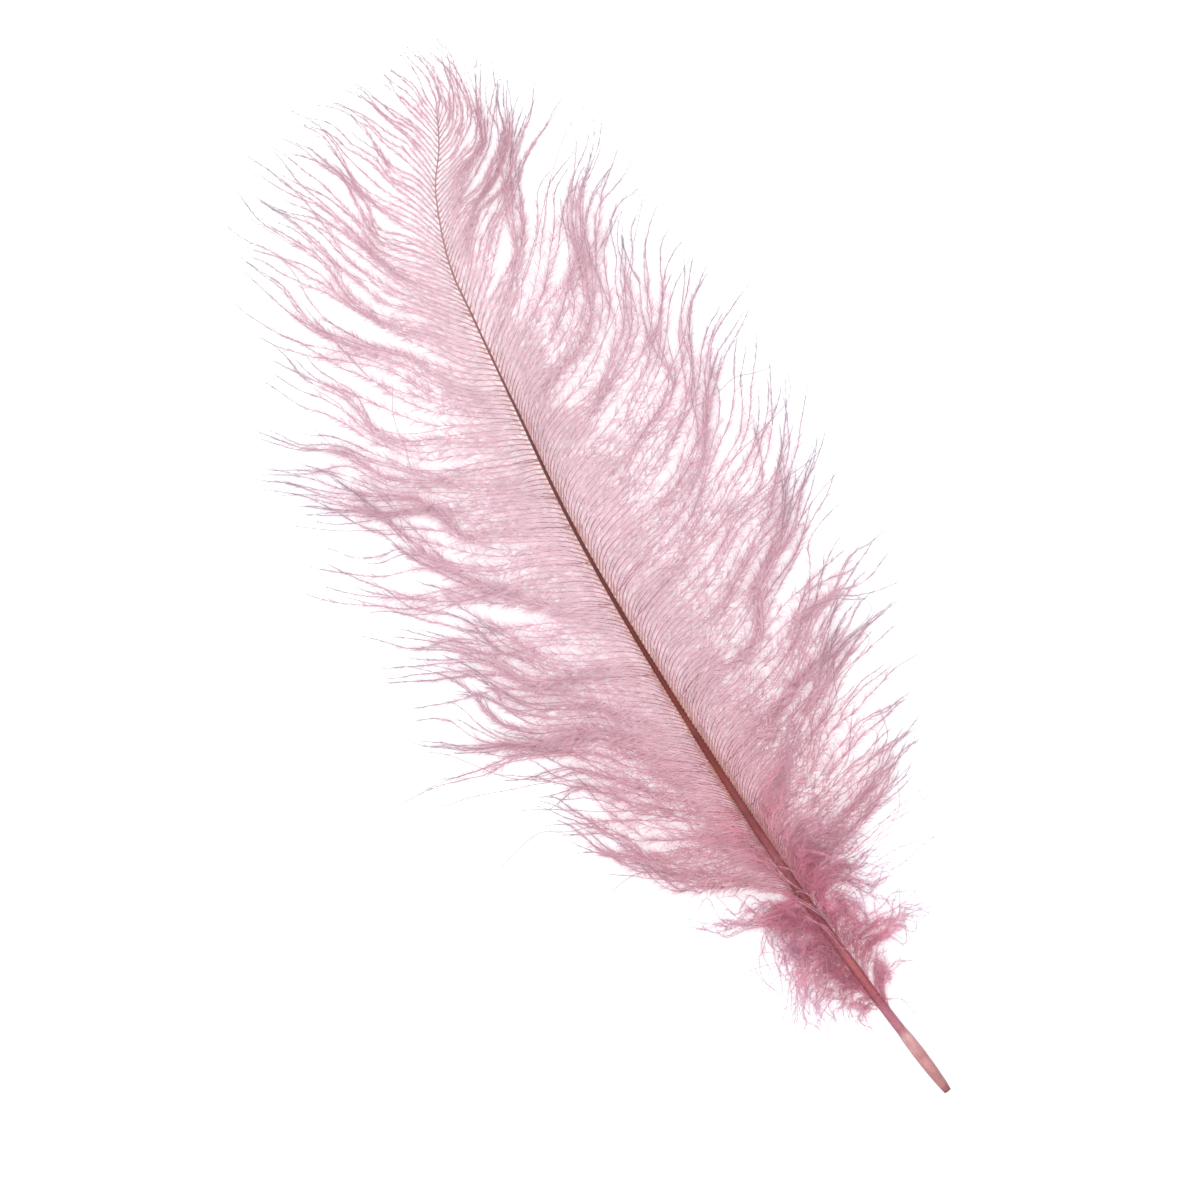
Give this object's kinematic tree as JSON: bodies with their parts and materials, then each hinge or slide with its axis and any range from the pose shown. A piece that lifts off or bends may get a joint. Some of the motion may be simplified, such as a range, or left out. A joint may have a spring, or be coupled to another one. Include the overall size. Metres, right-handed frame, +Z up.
{
  "type": "ostrich feather",
  "caption": "Dyed ostrich plume lying flat: bare quill, downy tufts, arched tapering shaft and two loose drooping vanes of long barbs.",
  "frame": {"origin": "on the table, under the middle of the feather's bounding box", "axes": "+Y from the quill to the plume's tip, +X to the right vane seen from above, +Z up"},
  "size_m": [0.134, 0.2942, 0.015],
  "materials": {
    "horn": "dyed horn, satin, paler and see-through at the quill",
    "barbs": "dyed barbs and barbules, soft and open, dusty pink",
    "down": "dyed down, dense and matt, deeper rose"
  },
  "bodies": {
    "root": {"shaft": "horn", "vane_left": "barbs", "vane_right": "barbs", "down_left": "down", "down_right": "down"}
  },
  "joints": []
}
